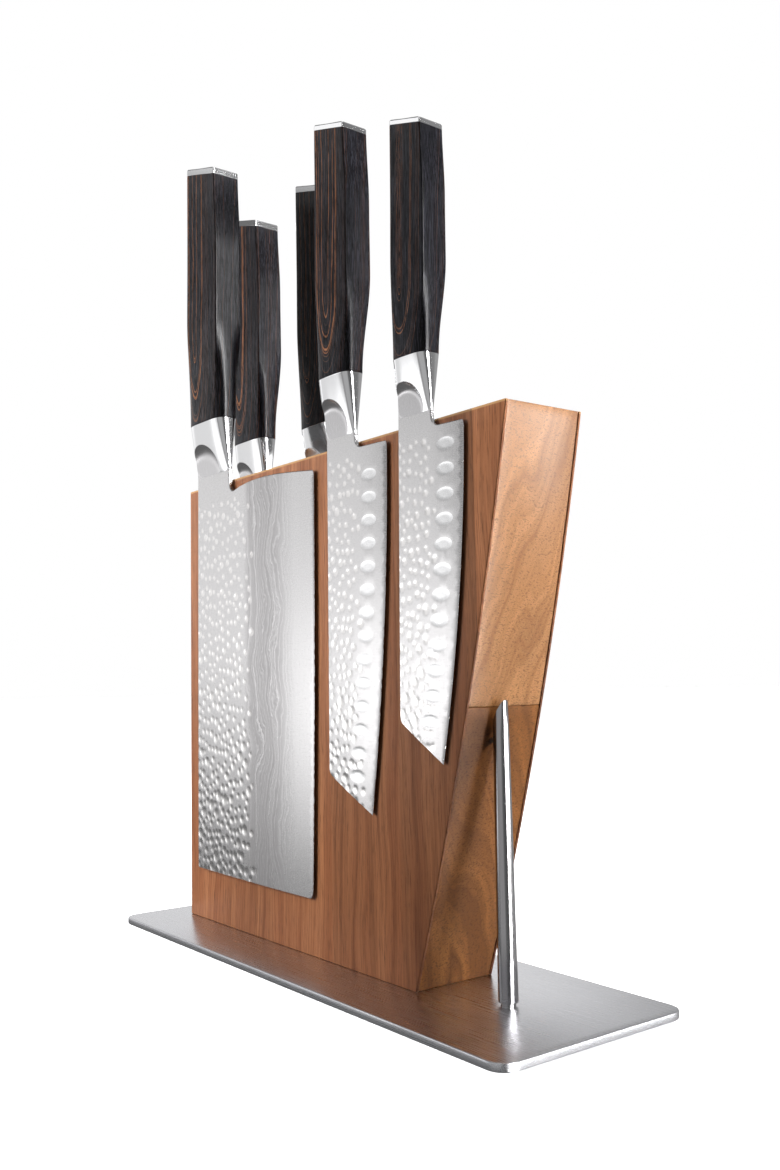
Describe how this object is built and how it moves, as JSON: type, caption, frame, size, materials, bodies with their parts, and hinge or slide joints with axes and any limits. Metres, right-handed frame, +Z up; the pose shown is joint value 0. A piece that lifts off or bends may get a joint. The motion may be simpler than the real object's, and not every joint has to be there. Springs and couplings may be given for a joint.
{
  "type": "magnetic knife block with knives",
  "caption": "Magnetic knife block: upright wooden board with a slanted end on a steel plate, propped by a steel post, with kitchen knives held on both faces.",
  "frame": {"origin": "middle of the base plate's footprint, at the level of the feet", "axes": "+Z is up; -Y is the front face with the cleaver; +X runs along the board from its upright end to its slanted end and the post"},
  "size_m": [0.27, 0.087, 0.3782],
  "materials": {
    "plate_steel": "satin, brushed along its length, with bright eased edges",
    "post_steel": "satin turned rod",
    "feet": "matt black rubber",
    "fixings": "plain zinc-bright screws",
    "end_grain_low": "oiled golden brown hardwood with short dark pores",
    "end_grain_high": "oiled golden brown hardwood with short dark pores",
    "dowel_wood": "plain fluted beech dowel",
    "board_wood": "oiled reddish brown hardwood, grain running upright",
    "magnet_metal": "nickel-plated bar magnets, hidden in the board",
    "keeper_steel": "plain steel strip, hidden in the board",
    "blade_steel": "satin layered steel, hammered along the spine half",
    "bolster_steel": "polished steel with a satin scoop",
    "grip_wood": "satin charcoal resin-bonded wood with thin orange-brown streaks",
    "cap_steel": "polished steel"
  },
  "bodies": {
    "stand": {"base_plate": "plate_steel", "foot_pads": "feet", "board_screws": "fixings", "post_screw": "fixings", "support_post": "post_steel", "post_pin": "fixings", "core_lower": "end_grain_low", "core_upper": "end_grain_high", "core_dowels": "dowel_wood", "front_panel": "board_wood", "back_panel": "board_wood", "front_magnets": "magnet_metal", "back_magnets": "magnet_metal", "front_keepers": "keeper_steel", "back_keepers": "keeper_steel"},
    "cleaver_knife": {"cleaver_blade": "blade_steel", "cleaver_bolster": "bolster_steel", "cleaver_handle": "grip_wood", "cleaver_cap": "cap_steel"},
    "santoku_knife": {"santoku_blade": "blade_steel", "santoku_bolster": "bolster_steel", "santoku_handle": "grip_wood", "santoku_cap": "cap_steel"},
    "petty_knife": {"petty_blade": "blade_steel", "petty_bolster": "bolster_steel", "petty_handle": "grip_wood", "petty_cap": "cap_steel"},
    "chef_knife": {"chef_blade": "blade_steel", "chef_bolster": "bolster_steel", "chef_handle": "grip_wood", "chef_cap": "cap_steel"},
    "slicer_knife": {"slicer_blade": "blade_steel", "slicer_bolster": "bolster_steel", "slicer_handle": "grip_wood", "slicer_cap": "cap_steel"}
  },
  "joints": [
    {"name": "cleaver_lift_off", "type": "slide", "parent": "stand", "child": "cleaver_knife", "axis": [0, -1, 0], "range_m": [0, 0.12]},
    {"name": "santoku_lift_off", "type": "slide", "parent": "stand", "child": "santoku_knife", "axis": [0, -1, 0], "range_m": [0, 0.12]},
    {"name": "petty_lift_off", "type": "slide", "parent": "stand", "child": "petty_knife", "axis": [0, -1, 0], "range_m": [0, 0.12]},
    {"name": "chef_lift_off", "type": "slide", "parent": "stand", "child": "chef_knife", "axis": [0, 1, 0], "range_m": [0, 0.12]},
    {"name": "slicer_lift_off", "type": "slide", "parent": "stand", "child": "slicer_knife", "axis": [0, 1, 0], "range_m": [0, 0.12]}
  ]
}
